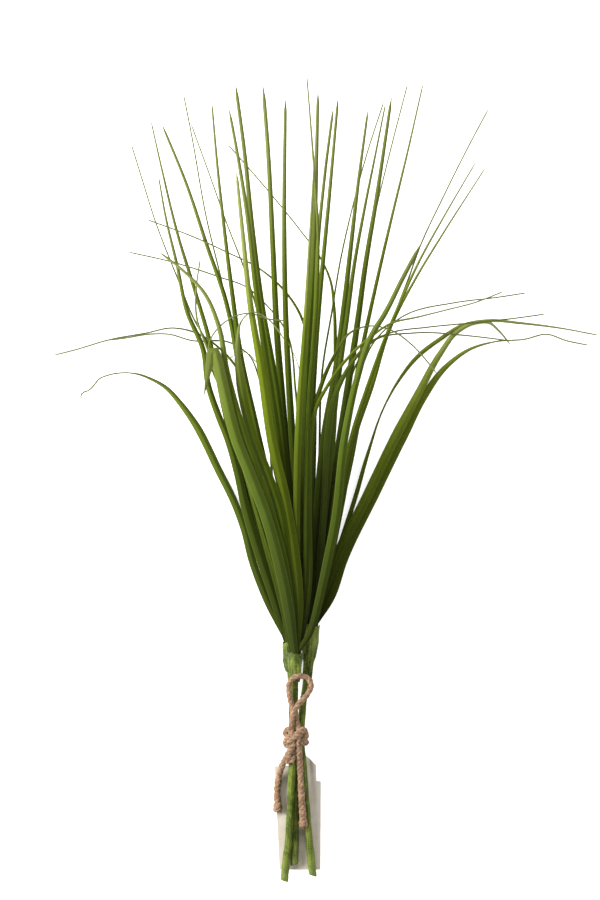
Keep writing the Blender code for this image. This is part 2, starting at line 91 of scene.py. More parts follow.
def smooth_curve(points, step):
    """Cubic curve through the points, read at even steps along it.

    Each point's slope is the distance-weighted mean of the spans that meet there.
    """
    points = np.array(points, dtype=float)
    chord = np.diff(points, axis=0)
    reach = np.linalg.norm(chord, axis=1)[:, None]
    slope = chord / reach
    inner = (slope[1:] * reach[:-1] + slope[:-1] * reach[1:]) / (reach[1:] + reach[:-1])
    slopes = np.vstack([slope[:1], inner, slope[-1:]])
    t = np.linspace(0.0, 1.0, 40, endpoint=False)[None, :, None]
    start, end = points[:-1, None], points[1:, None]
    rise = reach[:, None] * (slopes[:-1, None] * t * (1 - t) ** 2 - slopes[1:, None] * t ** 2 * (1 - t))
    fine = start * (1 + 2 * t) * (1 - t) ** 2 + end * t ** 2 * (3 - 2 * t) + rise
    fine = np.vstack([fine.reshape(-1, points.shape[1]), points[-1:]])
    along = np.concatenate([[0.0], np.cumsum(np.linalg.norm(np.diff(fine, axis=0), axis=1))])
    even = np.linspace(0.0, along[-1], max(4, round(along[-1] / step) + 1))
    return np.column_stack([np.interp(even, along, column) for column in fine.T]), even


def unit(vectors):
    """The same directions, each one long."""
    return vectors / np.linalg.norm(vectors, axis=-1, keepdims=True)


def carried_frame(path, up=(0.0, 0.0, 1.0)):
    """Two directions across a path, the second one as close to up as the path lets it be."""
    ahead = unit(np.gradient(path, axis=0))
    side = unit(np.cross(ahead, up))
    return side, np.cross(side, ahead)


def tube_points(path, radius, sides, up=(0.0, 0.0, 1.0)):
    """A circle carried along a path. The radius is a number or a grid of (path, side)."""
    side, top = carried_frame(path, up)
    turn = -np.linspace(0.0, 2 * math.pi, sides, endpoint=False)[None, :, None]
    radius = np.broadcast_to(np.asarray(radius, dtype=float), (len(path), sides))[:, :, None]
    return path[:, None] + radius * (np.cos(turn) * side[:, None] + np.sin(turn) * top[:, None])


def skin(name, grids, closed=False, **values):
    """One smooth mesh from grids of points, each ringed round a path and shut at both ends.

    Every value is a grid like the points, one for each grid, kept as a point attribute.
    """
    corners, faces, offset = [], [], 0
    for grid in grids:
        rows, sides = grid.shape[:2]
        here = np.arange(rows * sides).reshape(rows, sides)
        ahead = np.roll(here, -1, axis=0)
        if not closed:
            here, ahead = here[:-1], ahead[:-1]
        beside = np.roll(here, -1, axis=1), np.roll(ahead, -1, axis=1)
        quads = np.stack([here, beside[0], beside[1], ahead], axis=-1).reshape(-1, 4) + offset
        faces += quads.tolist()
        if not closed:
            faces.append((np.arange(sides)[::-1] + offset).tolist())
            faces.append((np.arange(sides) + (rows - 1) * sides + offset).tolist())
        corners.append(from_tie(grid.reshape(-1, 3)))
        offset += rows * sides
    mesh = bpy.data.meshes.new(name)
    mesh.from_pydata(np.vstack(corners).tolist(), [], faces)
    for key, parts in values.items():
        layer = mesh.attributes.new(key, "FLOAT", "POINT")
        layer.data.foreach_set("value", np.concatenate([np.ravel(part) for part in parts]).astype(np.float32))
    mesh.shade_smooth()
    mesh.set_sharp_from_angle(angle=math.radians(50))
    piece = bpy.data.objects.new(name, mesh)
    bpy.context.collection.objects.link(piece)
    return piece


class Value:
    """A shader value in an expression. Each operator adds the Math node that it stands for."""

    def __init__(self, finish, socket):
        self.finish = finish
        self.socket = socket

    def math(self, operation, first, second=0.0):
        return self.finish.node("ShaderNodeMath", {"operation": operation}, {0: first, 1: second})

    def __add__(self, other):
        return self.math("ADD", self, other)

    def __sub__(self, other):
        return self.math("SUBTRACT", self, other)

    def __rsub__(self, other):
        return self.math("SUBTRACT", other, self)

    def __mul__(self, other):
        return self.math("MULTIPLY", self, other)

    def __pow__(self, other):
        return self.math("POWER", self, other)

    __radd__ = __add__
    __rmul__ = __mul__

    def sine(self):
        return self.math("SINE", self)

    def size(self):
        return self.math("ABSOLUTE", self)

    def above(self, low, high):
        """0 below the low value, 1 above the high one, and an even S between."""
        settings = {"interpolation_type": "SMOOTHSTEP"}
        return self.finish.node("ShaderNodeMapRange", settings, {0: self, 1: low, 2: high})


class Finish:
    """A material on one Principled shader. Constants are set on the shader's own sockets."""

    def __init__(self, name, **constants):
        self.material = bpy.data.materials.new(name)
        self.material.use_nodes = True
        self.tree = self.material.node_tree
        self.shader = self.tree.nodes["Principled BSDF"]
        for key, value in constants.items():
            self.shader.inputs[key.replace("_", " ")].default_value = value

    def node(self, kind, settings=None, inputs=None, output=0):
        """Adds a node: its settings first, then its sockets, each a number, a colour or a Value."""
        made = self.tree.nodes.new(kind)
        for key, value in (settings or {}).items():
            if key == "stops":
                self.set_stops(made.color_ramp, value)
            else:
                setattr(made, key, value)
        for key, value in (inputs or {}).items():
            if isinstance(value, Value):
                self.tree.links.new(value.socket, made.inputs[key])
            else:
                made.inputs[key].default_value = value
        return Value(self, made.outputs[output])

    def set_stops(self, ramp, stops):
        while len(ramp.elements) < len(stops):
            ramp.elements.new(1.0)
        for element, (position, colour) in zip(ramp.elements, stops):
            element.position = position
            element.color = (*colour, 1.0)

    def attribute(self, name):
        return self.node("ShaderNodeAttribute", {"attribute_name": name}, output="Fac")

    def place(self, scale=(1.0, 1.0, 1.0)):
        """The point in metres, stretched: a small scale draws a pattern out along that axis."""
        point = self.node("ShaderNodeTexCoord", output="Object")
        return self.node("ShaderNodeMapping", None, {"Vector": point, "Scale": scale})

    def noise(self, vector, scale, detail=3.0, roughness=0.55):
        inputs = {"Vector": vector, "Scale": scale, "Detail": detail, "Roughness": roughness}
        return self.node("ShaderNodeTexNoise", None, inputs)

    def ramp(self, factor, stops):
        return self.node("ShaderNodeValToRGB", {"stops": stops}, {"Fac": factor})

    def mix(self, first, second, factor):
        """A colour between two others."""
        first, second = [c if isinstance(c, Value) else (*c, 1.0) for c in (first, second)]
        return self.node("ShaderNodeMix", {"data_type": "RGBA"}, {0: factor, 6: first, 7: second}, output=2)

    def tint(self, colour, factor):
        """A colour made lighter or darker by a value round 1."""
        grey = self.node("ShaderNodeCombineXYZ", None, {0: factor, 1: factor, 2: factor})
        settings = {"data_type": "RGBA", "blend_type": "MULTIPLY"}
        return self.node("ShaderNodeMix", settings, {0: 1.0, 6: colour, 7: grey}, output=2)

    def feed(self, **values):
        for key, value in values.items():
            self.tree.links.new(value.socket, self.shader.inputs[key.replace("_", " ")])

    def bump(self, height, distance, strength=1.0):
        inputs = {"Height": height, "Distance": distance, "Strength": strength}
        self.feed(Normal=self.node("ShaderNodeBump", None, inputs))


def dress(piece, finish, slot, *nodes):
    """Gives a piece its material and its body, and hides the CAD nodes that it stands for. The slot is not
    used.
    """
    piece.data.materials.append(finish.material)
    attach(piece, "root")
    if nodes:
        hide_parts(*nodes)
    return piece


def tape_finish(name, light, dark):
    """Crepe tape: painted shade in its lengthwise creases and wrinkles, soft blotches of tone, and a darker
    line where a turn overlaps.
    """
    tape = Finish(name, Specular_IOR_Level=0.15)
    along, seam = tape.attribute("along"), tape.attribute("seam")
    crease = tape.noise(tape.place((1.0, 0.10, 1.0)), 900.0, 4.0, 0.65)
    wrinkle = tape.noise(tape.place((1.0, 2.2, 1.0)), 330.0, 3.0)
    blotch = tape.noise(tape.place((1.0, 0.6, 1.0)), 110.0, 3.0)
    # The tape goes from its light to its dark colour in painted shade along the creases and wrinkles, and in
    # blotches of tone.
    shade = (crease * 0.8 + wrinkle * 0.5 + blotch * 1.2 - 0.75).above(0.2, 0.85)
    colour = tape.mix(dark, light, shade)
    colour = tape.mix(colour, [part * 0.5 for part in dark], seam * 0.6)
    colour = tape.mix(colour, (0.20, 0.25, 0.07), along.above(0.86, 1.0) * 0.3)
    tape.feed(Base_Color=colour, Roughness=crease * 0.3 + 0.5)
    tape.bump(crease * 0.8 + wrinkle * 0.5 - seam * 0.5, 0.0006, 0.9)
    return tape


stem_tape = tape_finish("stem_tape", (0.135, 0.172, 0.024), (0.032, 0.050, 0.004))

for number, (pick, route) in enumerate(STEMS.items()):
    path, along = smooth_curve(route, STEM_STEP)
    turn = np.linspace(0.0, 1.0, STEM_SIDES, endpoint=False)
    around = 2 * math.pi * turn
    wound = (along[:, None] / TAPE_PITCH + turn + 0.3 * number) % 1.0
    seam = np.exp(-((wound - 0.02) / 0.022) ** 2)
    left = along[-1] - along[:, None]
    joint = np.clip((TAPE_JOINT[pick] - left + 0.8 * np.sin(around)) / 0.6, 0.0, 1.0)
    seam = np.maximum(seam * 0.7, 4 * joint * (1 - joint))
    creases = 0.09 * np.sin(5 * around + along[:, None] / 23)
    creases = creases + 0.06 * np.sin(9 * around - along[:, None] / 11)
    lumps = 0.11 * np.sin(along[:, None] / 6.1 + 2.0 * np.sin(around))
    radius = STEM_RADIUS - TAPE_STEP * wound + 0.25 * joint + lumps + creases - 0.05
    radius *= 1.0 - 0.12 * np.exp(-left / 0.4)
    grid = tube_points(path, radius, STEM_SIDES)
    grid[..., 1] += CUT_SLANT[pick] * (grid[..., 0] - path[:, None, 0]) * np.exp(-left / 3.0)
    share = np.broadcast_to(along[:, None] / along[-1], grid.shape[:2])
    stem = skin(f"stem_{pick}_taped", [grid], along=[share], seam=[seam * np.ones_like(share)])
    dress(stem, stem_tape, "tape", f"stem_{pick}")


# ---- Collars ------------------------------------------------------------------------------------
# Where the leaves meet the stem, the same tape is wound wide into a flared sleeve. It is pulled into
# lengthwise pleats at its foot, and its mouth ends in a thin, slightly uneven rim.

COLLAR_BORE = 5.7
COLLAR_WALL = 0.3
COLLAR_SIDES = 96

# Each collar's foot and mouth, and how far it has swelled from the stem's width at shares of its length.
COLLARS = {
    "back": ([(-5.9, 54, 6.7), (-6.6, 78, 6.6)],
             [(0.0, 0.1), (0.12, 0.45), (0.36, 0.95), (0.6, 1.0), (1.0, 1.0)]),
    "right": ([(7.0, 48, 6.8), (11.8, 92, 6.6)],
              [(0.0, 0.1), (0.3, 0.25), (0.42, 0.85), (0.7, 1.0), (1.0, 1.0)]),
    "front": ([(-2.6, 46, 16.4), (-2.0, 70, 18.8)],
              [(0.0, 0.1), (0.2, 0.45), (0.62, 0.86), (0.8, 1.0), (1.0, 1.0)]),
}
collar_tape = tape_finish("collar_tape", (0.150, 0.190, 0.032), (0.028, 0.045, 0.004))


def ridge(angle):
    """A zigzag of sharp ridges and soft valleys, -1 to 1, once for each half turn of the angle."""
    return 1.0 - 2.0 * np.abs(np.sin(angle))


def collar_radius(share, turn, outline, phase):
    """Outline along the axis, with crossing diagonal creases, and pleats that fade to the mouth."""
    swell = np.interp(share, *np.array(outline).T)
    foot_radius = STEM_RADIUS + COLLAR_WALL
    base = foot_radius + (COLLAR_BORE - foot_radius) * swell
    pleats = 0.26 * ridge(5.5 * turn + 1.5 * share + phase) + 0.16 * np.sin(17 * turn + 5 * share + phase)
    creases = 0.30 * ridge(1.5 * turn + 5.0 * share + phase)
    creases = creases + 0.24 * ridge(2.0 * turn - 3.6 * share + 2 * phase)
    return base + pleats * (1.0 - share) ** 0.6 + creases * (0.35 + 0.65 * np.sin(math.pi * share))


for number, (pick, (axis, outline)) in enumerate(COLLARS.items()):
    foot, mouth = np.array(axis, dtype=float)
    share = np.linspace(0.0, 1.0, 90)[:, None]
    turn = np.linspace(0.0, 2 * math.pi, COLLAR_SIDES, endpoint=False)[None, :]
    path = foot + share * (mouth - foot)
    bore = collar_radius(share, turn, outline, 2.1 * number + 0.6)
    outside = tube_points(path, bore + 0.05 + COLLAR_WALL, COLLAR_SIDES)
    inside = tube_points(path, bore + 0.05, COLLAR_SIDES)
    edge = 0.5 * np.sin(3 * turn + number) + 0.3 * np.sin(8 * turn)
    torn = unit(mouth - foot) * (edge * share ** 8 - 0.6 * share ** 8)[..., None]
    grid = np.concatenate([outside + torn, (inside + torn)[::-1]])
    overlap = np.exp(-((((turn - 1.1 * number - 4.4) - 1.6 * share) / 0.07) ** 2)) + 0 * share
    seam = np.concatenate([overlap, overlap[::-1]])
    lengthwise = np.broadcast_to(0.8 * share, overlap.shape)
    collar = skin(f"collar_{pick}_taped", [grid], closed=True, seam=[seam],
                  along=[np.concatenate([lengthwise, lengthwise[::-1]])])
    dress(collar, collar_tape, "tape", f"collar_{pick}")


# ---- Leaves -------------------------------------------------------------------------------------
# Each leaf is one strip of thin printed film, folded along its midrib so that it stands stiff. It is
# pushed into its collar, reaches its full width a little above it, and ends in a point or a thread.

LEAF_THICKNESS = 0.26
ROOT_WIDTH = 5.4
ROOT_DEPTH = 5.0
ROOT_STACK = 7.0
ROOT_SPREAD = 10.0
ROOT_CLEARANCE = 0.9
WIDENING = 45.0
THREAD_WIDTH = 1.2
TIP_HALF = 0.15
TIP_POINT = 0.12
FOLD_DEPTH = 0.42
FOLD_ROOM = 0.75
FOLD_POWER = 1.2
LAYER_GAP = 0.5
FAN_START = 95.0
FAN_OPEN = 150.0
FAN_TOP = (24.0, 0.38, -0.00018)
FAN_ORDER = 1.5
DOME_WIDTH = 250.0
LEAF_STEP = 3.0
LEAF_ACROSS = 9
# Painted shade in the heart of the bunch: how far up it reaches, how it fades, its foot, its spread and its
# two sides.
HEART_TOP = 300.0
HEART_DEPTH = 200.0
HEART_FOOT = 60.0
HEART_SPREAD = 0.13
HEART_LEFT = (5.0, 16.0)
HEART_RIGHT = (6.0, 14.0, 0.6)

# Some blades are twisted on edge for a stretch: the share of the length where it lies, and the share of
# the width that is left there. Each twist fades out over the same share of the length.
TWIST_LENGTH = 0.10
ON_EDGE = {
    "right_02": (0.47, 0.4),
    "right_04": (0.43, 0.4),
    "front_12": (0.06, 0.8),
    "right_19": (0.30, 0.75),
}

# From the lowest leaf to the top one: its pick, width, the shares of its length where it starts to
# narrow and where it is a thread (past 1 it ends blunt), its tone (0 dark, 1 light), which is painted
# light for how much light that leaf catches, how grey its face is, and its route.
LEAVES = (
    ("back", 6.2, 0.60, 0.84, 0.5, 0.6, [(-25, 112), (-37, 144), (-43, 168), (-52, 192), (-63, 214),
                                         (-84, 255), (-95, 270), (-106, 282), (-118, 289), (-129, 293),
                                         (-141, 294), (-153, 292), (-160, 289), (-164, 284), (-168, 280),
                                         (-173, 278), (-175, 275), (-172, 273)]),
    ("right", 8.2, 0.50, 0.78, 0.9, 0.2, [(25, 112), (36, 144), (62, 198), (82, 239), (101, 275),
                                          (119, 299), (138, 313), (158, 319), (182, 321), (200, 325),
                                          (215, 320), (234, 316)]),
    ("back", 3.2, 0.30, 0.75, 0.5, 0.2, [(-17, 112), (-28, 190), (-38, 264), (-50, 299), (-67, 317),
                                         (-82, 326), (-101, 330), (-122, 326), (-150, 321), (-181, 312),
                                         (-197, 308)]),
    ("right", 3.8, 0.62, 0.94, 1.0, 0.2, [(19, 112), (31, 148), (46, 194), (57, 232), (68, 264), (81, 288),
                                          (96, 307), (114, 321), (132, 332), (154, 336), (178, 334),
                                          (210, 330), (242, 324)]),
    ("back", 2.4, 0.20, 0.70, 0.4, 0.2, [(-12, 112), (-20, 200), (-30, 285), (-40, 309), (-54, 318),
                                         (-86, 320), (-104, 325), (-119, 325), (-138, 322), (-155, 320)]),
    ("right", 8.0, 0.55, 1.00, 1.0, 0.2, [(18, 112), (30, 144), (54, 192), (77, 240), (96, 276),
                                          (114, 309), (128, 327), (142, 334), (154, 334), (161, 328),
                                          (171, 316)]),
    ("back", 2.4, 0.20, 0.80, 0.4, 0.3, [(-15, 112), (-40, 200), (-60, 270), (-74, 320), (-83, 336),
                                         (-96, 368), (-114, 414), (-126, 452), (-134, 478)]),
    ("right", 2.2, 0.20, 0.80, 0.5, 0.3, [(18, 118), (28, 200), (38, 270), (48, 303), (60, 319), (94, 326),
                                          (134, 324), (168, 320)]),
    ("back", 5.8, 0.25, 1.00, 0.4, 0.3, [(-17, 116), (-42, 200), (-58, 260), (-70, 316), (-84, 364),
                                         (-96, 403), (-109, 456), (-118, 496)]),
    ("right", 3.6, 0.50, 0.76, 0.5, 0.2, [(16, 116), (25, 200), (30, 270), (30, 316), (29, 346), (26, 368),
                                          (18, 386), (2, 408), (-24, 440), (-57, 478)]),
    ("back", 7.6, 0.25, 1.00, 0.3, 0.4, [(-19, 112), (-31, 148), (-43, 189), (-48, 212), (-56, 240),
                                         (-64, 260), (-72, 284), (-76, 312), (-89, 343), (-97, 380),
                                         (-106, 418), (-112, 452)]),
    ("right", 2.2, 0.20, 0.80, 0.5, 0.2, [(15, 116), (17, 220), (20, 300), (27, 342), (34, 384), (43, 424),
                                          (56, 472), (69, 512)]),
    ("back", 2.2, 0.20, 0.80, 0.4, 0.3, [(-11, 112), (-30, 208), (-47, 290), (-61, 366), (-73, 416),
                                         (-86, 488), (-92, 518)]),
    ("right", 2.6, 0.20, 0.80, 0.6, 0.2, [(18, 120), (30, 220), (46, 330), (62, 422), (74, 472), (88, 526)]),
    ("back", 2.6, 0.20, 0.70, 0.4, 0.2, [(-4, 112), (0, 200), (-2, 280), (-10, 328), (-28, 351), (-42, 363),
                                         (-61, 370), (-98, 382), (-137, 391)]),
    ("right", 2.2, 0.20, 0.80, 0.6, 0.2, [(20, 120), (42, 216), (58, 290), (74, 332), (88, 368), (99, 398),
                                          (115, 432), (138, 478), (153, 506)]),
    ("back", 2.2, 0.20, 0.80, 0.5, 0.2, [(-6, 112), (-15, 200), (-24, 290), (-34, 348), (-42, 374),
                                         (-58, 416), (-70, 450), (-86, 494)]),
    ("right", 6.6, 0.30, 1.20, 0.3, 0.3, [(17, 130), (30, 216), (39, 276), (48, 336), (54, 380), (62, 428),
                                          (75, 515)]),
    ("back", 5.9, 0.25, 1.15, 0.3, 0.3, [(-12, 112), (-26, 192), (-41, 264), (-50, 316), (-58, 352),
                                         (-73, 396), (-89, 444), (-109, 493)]),
    ("right", 4.2, 0.30, 0.80, 0.4, 0.2, [(12, 116), (12, 200), (13, 270), (9, 318), (0, 344), (-13, 362),
                                          (-32, 378), (-56, 390), (-82, 402), (-122, 417)]),
    ("back", 6.4, 0.25, 1.05, 0.3, 0.2, [(-9, 112), (-21, 192), (-34, 252), (-46, 308), (-52, 352),
                                         (-58, 400), (-65, 464), (-69, 510)]),
    ("right", 6.8, 0.30, 1.10, 0.2, 0.2, [(13, 120), (22, 248), (31, 300), (37, 348), (42, 392), (48, 444),
                                          (56, 504)]),
    ("back", 6.8, 0.25, 1.35, 0.3, 0.1, [(-6, 112), (-7, 192), (-12, 264), (-17, 328), (-20, 392),
                                         (-24, 472), (-28, 524)]),
    ("right", 6.4, 0.25, 1.25, 0.4, 0.1, [(4, 112), (-1, 192), (-6, 264), (-10, 344), (-11, 416),
                                          (-10, 513)]),
    ("back", 7.0, 0.25, 1.25, 0.3, 0.2, [(-5, 112), (-8, 192), (-18, 284), (-29, 348), (-36, 404),
                                         (-43, 472), (-50, 525)]),
    ("right", 5.0, 0.25, 1.00, 0.6, 0.2, [(19, 122), (31, 200), (42, 264), (52, 316), (62, 362), (74, 414),
                                          (88, 472), (100, 525)]),
    ("right", 4.2, 0.25, 0.95, 0.8, 0.1, [(21, 120), (36, 192), (46, 244), (59, 282), (74, 330), (94, 369),
                                          (114, 402), (150, 458)]),
    ("right", 2.2, 0.20, 0.70, 0.5, 0.2, [(17, 118), (30, 200), (46, 280), (62, 320), (84, 339), (126, 350),
                                          (158, 354), (184, 358)]),
    ("right", 4.6, 0.25, 0.95, 0.7, 0.2, [(20, 120), (32, 184), (43, 242), (57, 286), (70, 322), (80, 346),
                                          (97, 383), (118, 421), (142, 462)]),
    ("right", 5.6, 0.30, 1.00, 0.6, 0.6, [(15, 120), (23, 200), (31, 280), (39, 336), (45, 380), (53, 424),
                                          (61, 464), (70, 509)]),
    ("right", 5.6, 0.30, 1.20, 0.4, 0.3, [(11, 118), (10, 232), (14, 312), (19, 372), (24, 424), (32, 513)]),
    ("right", 6.0, 0.42, 0.66, 0.6, 0.8, [(16, 112), (18, 144), (21, 192), (24, 244), (28, 270), (35, 288),
                                          (44, 303), (59, 319), (75, 326), (102, 330), (142, 334),
                                          (178, 338), (199, 341)]),
    ("front", 6.0, 0.45, 0.80, 0.2, 0.1, [(4, 112), (7, 190), (10, 240), (18, 282), (30, 309), (42, 326),
                                          (56, 331), (74, 328), (90, 317), (104, 302), (111, 293)]),
    ("front", 4.6, 0.30, 0.95, 0.4, 0.3, [(-14, 112), (-38, 200), (-60, 272), (-72, 312), (-81, 338),
                                          (-81, 364), (-78, 385)]),
    ("front", 7.6, 0.35, 1.15, 0.1, 0.1, [(3, 112), (5, 232), (8, 312), (12, 376), (14, 436), (16, 518)]),
    ("front", 7.2, 0.25, 1.15, 0.3, 0.1, [(-3, 112), (-12, 208), (-17, 248), (-26, 308), (-34, 364),
                                          (-40, 416), (-49, 472), (-55, 504)]),
    ("front", 4.6, 0.30, 1.30, 0.4, 0.2, [(6, 112), (9, 200), (10, 272), (14, 344), (16, 396), (21, 448),
                                          (28, 504)]),
    ("front", 4.4, 0.30, 0.85, 0.7, 0.1, [(8, 112), (9, 190), (10, 240), (14, 264), (26, 287), (43, 309),
                                          (59, 323), (74, 333), (95, 338), (119, 344), (142, 350),
                                          (165, 359)]),
    ("front", 4.4, 0.30, 1.00, 0.3, 0.2, [(5, 112), (7, 200), (9, 272), (15, 352), (16, 404), (13, 452),
                                          (7, 530)]),
    ("front", 2.6, 0.20, 0.80, 0.6, 0.2, [(-13, 112), (-38, 200), (-62, 280), (-71, 305), (-70, 320),
                                          (-62, 331), (-52, 338), (-38, 341), (-26, 337), (-10, 335)]),
    ("front", 5.6, 0.45, 1.00, 0.7, 0.1, [(-1, 112), (-1, 192), (1, 264), (6, 336), (10, 408), (13, 464)]),
    ("front", 8.8, 0.35, 1.10, 0.7, 0.0, [(0, 112), (-10, 190), (-21, 240), (-30, 300), (-38, 348),
                                          (-44, 404), (-49, 454)]),
    ("front", 7.6, 0.70, 0.86, 0.3, 0.1, [(-4, 112), (-9, 144), (-14, 180), (-24, 212), (-35, 240),
                                          (-46, 288), (-48, 320), (-45, 335), (-37, 342), (-26, 338),
                                          (-17, 329), (-11, 320)]),
    ("front", 7.2, 0.35, 1.30, 0.3, 0.5, [(9, 84), (13, 96), (16, 108), (23, 140), (30, 176), (37, 240),
                                          (48, 292), (58, 322), (70, 342), (83, 368), (99, 398)]),
    ("front", 7.4, 0.40, 1.05, 0.3, 0.2, [(-7, 112), (-12, 144), (-24, 188), (-43, 244), (-57, 296),
                                          (-63, 330), (-74, 356), (-94, 377), (-111, 390)]),
    ("front", 9.2, 0.84, 1.03, 0.3, 0.8, [(-9, 112), (-16, 144), (-26, 180), (-38, 212), (-49, 240),
                                          (-61, 288), (-65, 305), (-67, 311), (-69, 310), (-70, 304),
                                          (-75, 275)]),
)


def fan_height(layer, u, v):
    """Height of a layer above the table, where the leaves have parted: a dome for each layer."""
    reach = np.maximum(v - FAN_START, 0.0)
    start, rise, fall = FAN_TOP
    top = start + rise * reach + fall * reach ** 2
    share = (layer / (len(LEAVES) - 1)) ** FAN_ORDER
    free = top - LAYER_GAP * len(LEAVES)
    return LEAF_THICKNESS / 2 + LAYER_GAP * layer + free * share / (1 + (u / DOME_WIDTH) ** 2)


def smoothstep(value):
    """0 below 0, 1 above 1, and an even S between."""
    value = np.clip(value, 0.0, 1.0)
    return value * value * (3.0 - 2.0 * value)


def leaf_height(layer, root, u, v):
    """Root height in the collar, blending into the fan as the leaf leaves it."""
    parted = smoothstep((v - FAN_START) / FAN_OPEN)
    return root + (fan_height(layer, u, v) - root) * parted


def leaf_grid(layer, root_height, pick, width, narrows, thread, points, roll, on_edge):
    """Points of one blade: a curved roof carried along the route, its two faces a thickness apart.

    The width narrows evenly from one share of the length to another, and the last stretch runs to a
    point. Across the blade, the drop from the midrib is fold times the distance to a power, and roll
    tips the whole blade. Both shrink where the leaves above and below leave no room. A twist on edge
    narrows the blade by a bell round its place.
    """
    root = min(ROOT_WIDTH, width)
    mouth = np.array(COLLARS[pick][0][1], dtype=float)
    half_chord = math.sqrt(COLLAR_BORE ** 2 - (root_height - mouth[2]) ** 2)
    leans = np.clip((points[0][0] - mouth[0]) / ROOT_SPREAD, -1.0, 1.0)
    middle = mouth[:2] + ((half_chord - root / 2 - ROOT_CLEARANCE) * leans, 0.0)
    ahead = unit(points[0] - middle)
    route, along = smooth_curve(np.vstack([middle - ROOT_DEPTH * ahead, middle, points]), LEAF_STEP)
    share = along / along[-1]
    ahead = unit(np.gradient(route, axis=0))
    sideways = np.column_stack([ahead[:, 1], -ahead[:, 0]])
    full = root + (width - root) * smoothstep(along / WIDENING)
    left = 1.0 - np.clip((share - narrows) / (thread - narrows), 0.0, 1.0)
    half = (THREAD_WIDTH + (full - THREAD_WIDTH) * left)[:, None] / 2
    half = np.minimum(half, TIP_HALF + TIP_POINT * (along[-1] - along)[:, None])
    place, keep = on_edge
    half *= 1.0 - (1.0 - keep) * np.exp(-(((share - place) / TWIST_LENGTH) ** 2))[:, None]
    level = leaf_height(layer, root_height, route[:, 0], route[:, 1])
    room = leaf_height(layer + 1, root_height + LAYER_GAP, route[:, 0], route[:, 1]) - level
    fold = np.minimum(FOLD_ROOM * room, FOLD_DEPTH * half[:, 0])[:, None]
    across = np.linspace(1.0, -1.0, LEAF_ACROSS)
    across = np.concatenate([across, across[::-1]])
    face = np.concatenate([-np.ones(LEAF_ACROSS), np.ones(LEAF_ACROSS)])
    plan = route[:, None] + sideways[:, None] * (half * across)[:, :, None]
    height = leaf_height(layer, root_height, plan[..., 0], plan[..., 1])
    height += fold * (0.5 - np.abs(across) ** FOLD_POWER * (1 - 0.5 * abs(roll)) + 0.5 * roll * across)
    height += face * (1.0 - 0.8 * across ** 2) * LEAF_THICKNESS / 2
    grid = np.concatenate([plan, np.maximum(height, 0.0)[..., None]], axis=2)
    return grid, share[:, None] + 0 * across, across + 0 * share[:, None]


def painted_heart_shade(layer, grid):
    """Painted shade in the heart of the bunch, 0 to 1: how far into the heart a point lies, on low leaves
    near the collars.

    It falls with the leaf's layer, with the distance up the bunch, and towards the two open sides, which
    spread like the leaves. To the left it falls to nothing, and to the right by a share.
    """
    u, v = grid[..., 0], grid[..., 1]
    below = 1.0 - (layer / (len(LEAVES) - 1)) ** 3
    opening = HEART_SPREAD * (v - HEART_FOOT)
    start, soft = HEART_LEFT
    inside = smoothstep((u + opening + start) / soft)
    start, soft, fall = HEART_RIGHT
    inside = inside * (1.0 - fall * smoothstep((u - opening - start) / soft))
    return below * inside * smoothstep((HEART_TOP - v) / HEART_DEPTH)


def leaf_finish():
    """Printed leaf film with paler edges and fine veins, and painted shade that makes it dark at the root and
    lighter to the tip.
    """
    film = Finish("leaf_film", Specular_IOR_Level=0.035)
    along, across = film.attribute("along"), film.attribute("across")
    tone, grey = film.attribute("tone"), film.attribute("grey")
    deep, fine = film.attribute("deep"), film.attribute("fine")
    veins = (across * 34.0 + along * 3.0).sine() * 0.5 + 0.5
    cloud = film.noise(film.place((1.0, 0.12, 1.0)), 90.0, 3.0)
    # Painted light along each leaf: lighter towards the tip.
    painted_light_to_tip = along.above(0.25, 1.0) * (fine * 0.08 + 0.34)
    # Each leaf's tone is painted light: the films share one colour, and the tone stands for how much light
    # each leaf catches.
    green = film.ramp(tone * 0.45 + cloud * 0.3 + painted_light_to_tip + 0.02, [
        (0.0, (0.022, 0.037, 0.0006)), (0.35, (0.050, 0.077, 0.0018)), (0.7, (0.108, 0.145, 0.0070)),
        (1.0, (0.225, 0.270, 0.035))])
    green = film.mix(green, (0.070, 0.104, 0.022), grey * 0.5)
    edge = across.size().above(0.74, 1.0)
    rib = 1.0 - across.size().above(0.0, 0.14)
    # Painted shade on the right half of each blade, as on a fold lit from the left.
    painted_shade_right = across.above(-0.1, 0.25)
    green = film.mix(green, (0.200, 0.235, 0.050), edge * 0.28 + rib * 0.10)
    # Fine veins, and painted shade that darkens the lower half of each leaf towards the root.
    green = film.tint(green, (veins * 0.14 + 0.93) * (along.above(0.0, 0.5) * 0.55 + 0.45))
    # Painted shade: darker on the right half of each blade, and nearly black on low leaves in the heart of
    # the bunch.
    green = film.tint(green, (1.0 - painted_shade_right * 0.24) * (1.0 - deep * 0.86))
    dry = along.above(0.62, 1.0) * (0.7 - grey * 0.65) * (fine * 0.35 + 0.65)
    green = film.mix(green, (0.260, 0.264, 0.120), dry)
    film.feed(Base_Color=green, Roughness=veins * 0.1 + cloud * 0.2 + 0.42)
    film.bump(veins * 0.14 + cloud * 0.2 - across.size() ** 1.3, 0.0011, 0.8)
    return film


